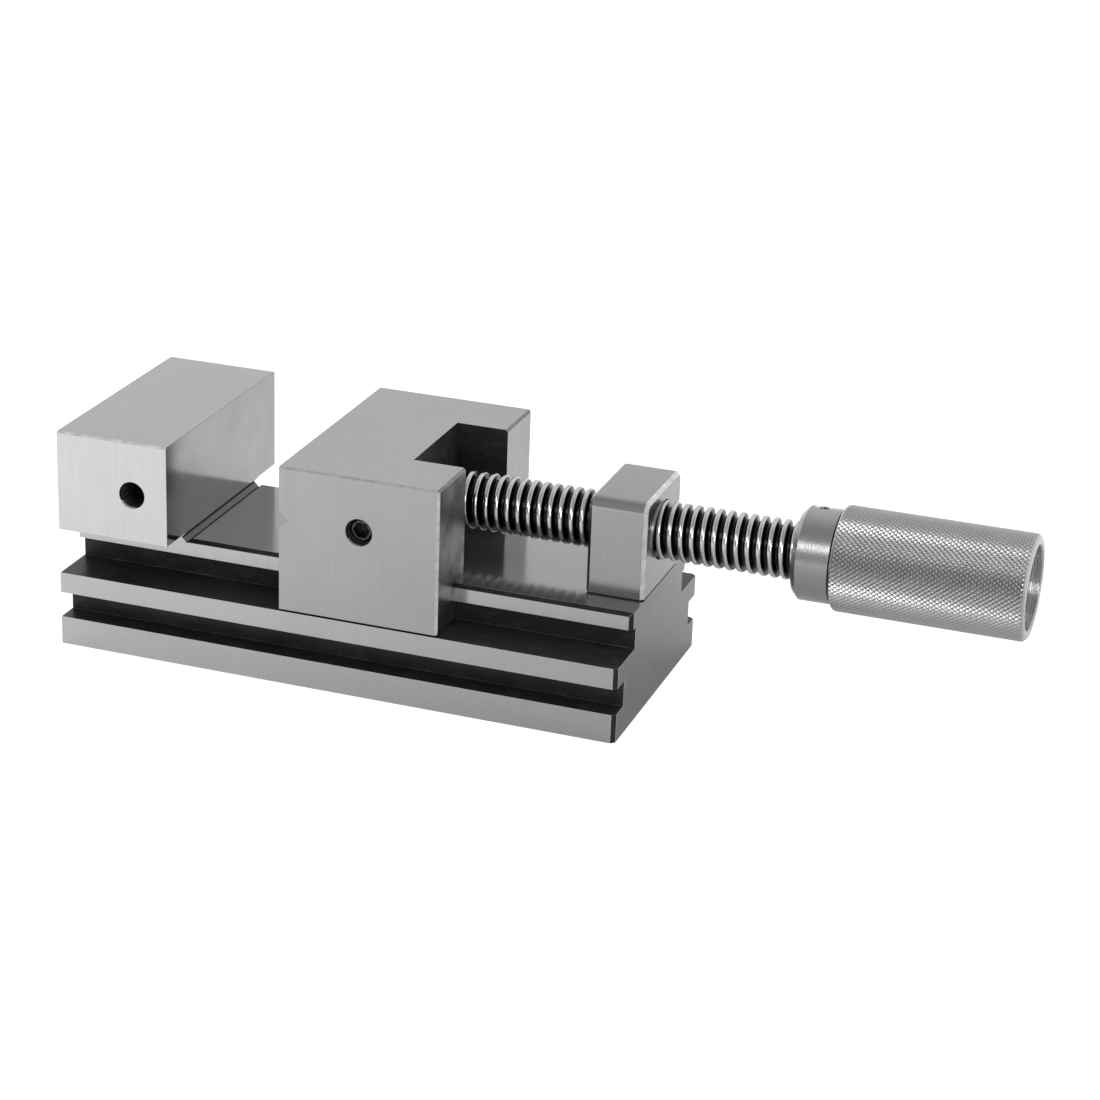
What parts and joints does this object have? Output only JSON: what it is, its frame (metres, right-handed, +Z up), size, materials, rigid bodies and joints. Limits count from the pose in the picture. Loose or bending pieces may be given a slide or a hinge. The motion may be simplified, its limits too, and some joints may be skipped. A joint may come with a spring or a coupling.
{
  "type": "precision grinding vise",
  "caption": "Low ground-steel toolmaker's vise: fixed jaw and T-guide in one block, sliding moving jaw, lead screw through a bolted nut block, knurled sleeve handle.",
  "frame": {"origin": "middle of the body's ground underside, under the guide's centre line", "axes": "+X along the guide from the fixed jaw towards the handle, +Y across it, +Z up; at rest the jaws stand 32.8 mm apart, as pictured"},
  "size_m": [0.2578, 0.07, 0.062],
  "materials": {
    "ground_steel": "surface ground, dark scale left in the side slots",
    "ground_jaw_steel": "surface ground, dark scale left in the notch",
    "nut_steel": "ground",
    "screw_steel": "turned and polished",
    "collar_steel": "satin turned",
    "knurled_steel": "diamond knurled",
    "pin_steel": "ground",
    "black_oxide": "black oxide"
  },
  "bodies": {
    "base": {"vise_body": "ground_steel", "nut_block": "nut_steel", "nut_screw_near": "black_oxide", "nut_screw_far": "black_oxide", "nut_dowel_inner": "pin_steel", "nut_dowel_outer": "pin_steel"},
    "jaw": {"moving_jaw": "ground_jaw_steel", "thrust_pad": "pin_steel", "nose_screw_near": "black_oxide", "nose_screw_far": "black_oxide"},
    "screw": {"lead_screw": "screw_steel", "handle_collar": "collar_steel", "collar_set_screw": "black_oxide", "drive_pin_near": "pin_steel", "drive_pin_far": "pin_steel", "knurled_sleeve": "knurled_steel", "sleeve_washer": "pin_steel", "sleeve_screw": "black_oxide"}
  },
  "joints": [
    {"name": "jaw_slide", "type": "slide", "parent": "base", "child": "jaw", "axis": [1, 0, 0], "range_m": [-0.0325, 0.0467]},
    {"name": "screw_turn", "type": "hinge", "parent": "jaw", "child": "screw", "pos_m": [0, 0, 0.047], "axis": [1, 0, 0], "range_deg": [-3901, 5605]}
  ],
  "couplings": [
    {"joint": "screw_turn", "follows": "jaw_slide", "rad_per_m": 2094.4}
  ]
}
